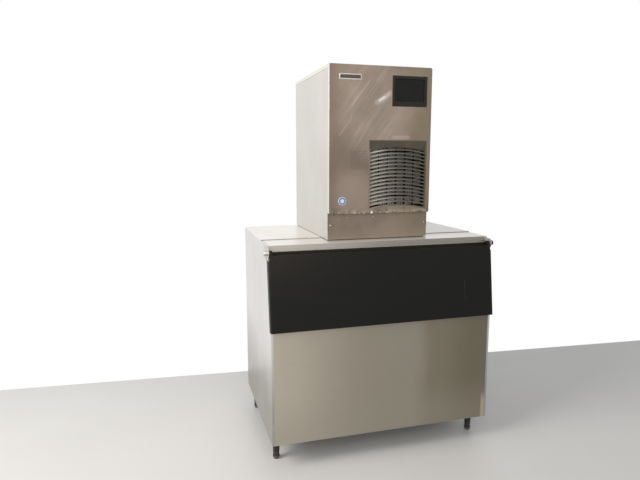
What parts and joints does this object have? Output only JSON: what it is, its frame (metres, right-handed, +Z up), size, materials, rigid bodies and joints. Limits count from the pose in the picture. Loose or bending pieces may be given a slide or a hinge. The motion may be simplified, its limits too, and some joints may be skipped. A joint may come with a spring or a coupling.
{
  "type": "ice cube machine",
  "caption": "Ice making head with an arched louvre on an insulated storage bin with a flip-up door, on short adjustable legs.",
  "frame": {"origin": "on the floor below the middle of the machine's bounding box", "axes": "+X to the machine's right-hand end seen from the front, -Y out of the front, +Z up"},
  "size_m": [1.264, 0.857, 2.03],
  "materials": {
    "stainless_front": "brushed stainless sheet, wiped and lightly scratched",
    "stainless_bin": "brushed stainless sheet",
    "side_sheet": "pale coated sheet, satin",
    "cover_sheet": "bright stainless sheet",
    "galvanised": "zinc coated sheet, dull",
    "foam": "foamed insulation",
    "liner_white": "white moulded liner",
    "frame_plastic": "dark moulded plastic",
    "door_plastic": "dark moulded plastic, scuffed",
    "hinge_steel": "stainless steel",
    "knob_light": "stainless steel",
    "knob_dark": "black plastic",
    "screw_steel": "stainless steel",
    "leg_black": "black coated metal",
    "foot_black": "black plastic",
    "gasket_foam": "soft closed cell foam",
    "drain_plastic": "pale plastic",
    "louvre_plastic": "dark moulded plastic",
    "filter_mesh": "black plastic mesh",
    "bezel_plastic": "dark plastic",
    "lens_dark": "dark tinted plastic",
    "switch_metal": "plated metal",
    "compressor_black": "black paint",
    "fin_aluminium": "plain aluminium",
    "motor_grey": "grey paint",
    "fan_plastic": "black plastic",
    "tinned_copper": "tinned copper",
    "copper": "copper tube",
    "tray_plastic": "pale food safe plastic",
    "pump_plastic": "black plastic",
    "spring_steel": "spring steel",
    "valve_plastic": "white plastic and brass",
    "gland_plastic": "black plastic"
  },
  "bodies": {
    "machine": {"bin_side_left": "side_sheet", "bin_side_right": "side_sheet", "bin_front_panel": "stainless_bin", "bin_rear_panel": "galvanised", "bin_base_pan": "galvanised", "bin_insulation": "foam", "bin_liner": "liner_white", "front_rail": "cover_sheet", "mouth_frame": "frame_plastic", "top_cover_left": "cover_sheet", "top_cover_right": "cover_sheet", "cover_foam": "foam", "drain_fitting": "drain_plastic", "hinge_bracket_left": "hinge_steel", "hinge_bracket_right": "hinge_steel", "hinge_pin_left": "knob_light", "hinge_pin_right": "knob_dark", "bin_screws": "screw_steel", "head_gasket": "gasket_foam", "head_base": "galvanised", "head_lower_front": "stainless_front", "head_side_left": "side_sheet", "head_side_right": "side_sheet", "head_front_panel": "stainless_front", "head_top_cover": "cover_sheet", "head_rear_panel": "galvanised", "louvre_grille": "louvre_plastic", "air_filter": "filter_mesh", "window_bezel": "bezel_plastic", "window_lens": "lens_dark", "control_box": "galvanised", "compressor": "compressor_black", "condenser": "fin_aluminium", "fan_shroud": "galvanised", "fan_motor": "motor_grey", "partition": "galvanised", "evaporator": "tinned_copper", "gear_motor": "motor_grey", "refrigerant_pipes": "copper", "water_valve": "valve_plastic", "power_gland": "gland_plastic", "head_screws": "screw_steel", "leg_front_left": "leg_black", "leg_front_right": "leg_black", "leg_rear_left": "leg_black", "leg_rear_right": "leg_black"},
    "door": {"door_panel": "door_plastic", "door_liner": "liner_white"},
    "fan": {"fan_blades": "fan_plastic"},
    "tray": {"water_plate": "tray_plastic", "water_tank": "tray_plastic", "circulation_pump": "pump_plastic"},
    "cam": {"cam_arm": "tray_plastic"},
    "spring": {"tray_spring": "spring_steel"},
    "switch": {"mode_switch": "switch_metal"},
    "paddle": {"ice_paddle": "tray_plastic"},
    "foot_front_left": {"foot_front_left": "foot_black"},
    "foot_front_right": {"foot_front_right": "foot_black"},
    "foot_rear_left": {"foot_rear_left": "foot_black"},
    "foot_rear_right": {"foot_rear_right": "foot_black"}
  },
  "joints": [
    {"name": "door_hinge", "type": "hinge", "parent": "machine", "child": "door", "pos_m": [0, -0.3615, 1.112], "axis": [-1, 0, 0], "range_deg": [0, 172]},
    {"name": "fan_spin", "type": "hinge", "parent": "machine", "child": "fan", "pos_m": [0.097, -0.1775, 1.48], "axis": [0, 1, 0], "continuous": true},
    {"name": "tray_tilt", "type": "hinge", "parent": "machine", "child": "tray", "pos_m": [-0.24, 0.2185, 1.655], "axis": [0, 1, 0], "range_deg": [0, 16]},
    {"name": "cam_turn", "type": "hinge", "parent": "machine", "child": "cam", "pos_m": [0.195, 0.0277, 1.79], "axis": [0, 1, 0], "range_deg": [0, 180]},
    {"name": "spring_swing", "type": "hinge", "parent": "cam", "child": "spring", "pos_m": [0.195, 0.0427, 1.85], "axis": [0, 1, 0], "range_deg": [-180, 0]},
    {"name": "mode_switch_toggle", "type": "hinge", "parent": "machine", "child": "switch", "pos_m": [0.15, -0.2285, 1.8005], "axis": [1, 0, 0], "range_deg": [-12, 12]},
    {"name": "ice_paddle_swing", "type": "hinge", "parent": "machine", "child": "paddle", "pos_m": [-0.24, 0.1565, 1.142], "axis": [0, 1, 0], "range_deg": [0, 30]},
    {"name": "foot_front_left_height", "type": "slide", "parent": "machine", "child": "foot_front_left", "axis": [0, 0, -1], "range_m": [0, 0.02]},
    {"name": "foot_front_right_height", "type": "slide", "parent": "machine", "child": "foot_front_right", "axis": [0, 0, -1], "range_m": [0, 0.02]},
    {"name": "foot_rear_left_height", "type": "slide", "parent": "machine", "child": "foot_rear_left", "axis": [0, 0, -1], "range_m": [0, 0.02]},
    {"name": "foot_rear_right_height", "type": "slide", "parent": "machine", "child": "foot_rear_right", "axis": [0, 0, -1], "range_m": [0, 0.02]}
  ],
  "couplings": [
    {"joint": "cam_turn", "follows": "tray_tilt", "ratio": 11.25},
    {"joint": "spring_swing", "follows": "tray_tilt", "ratio": -10.965}
  ]
}
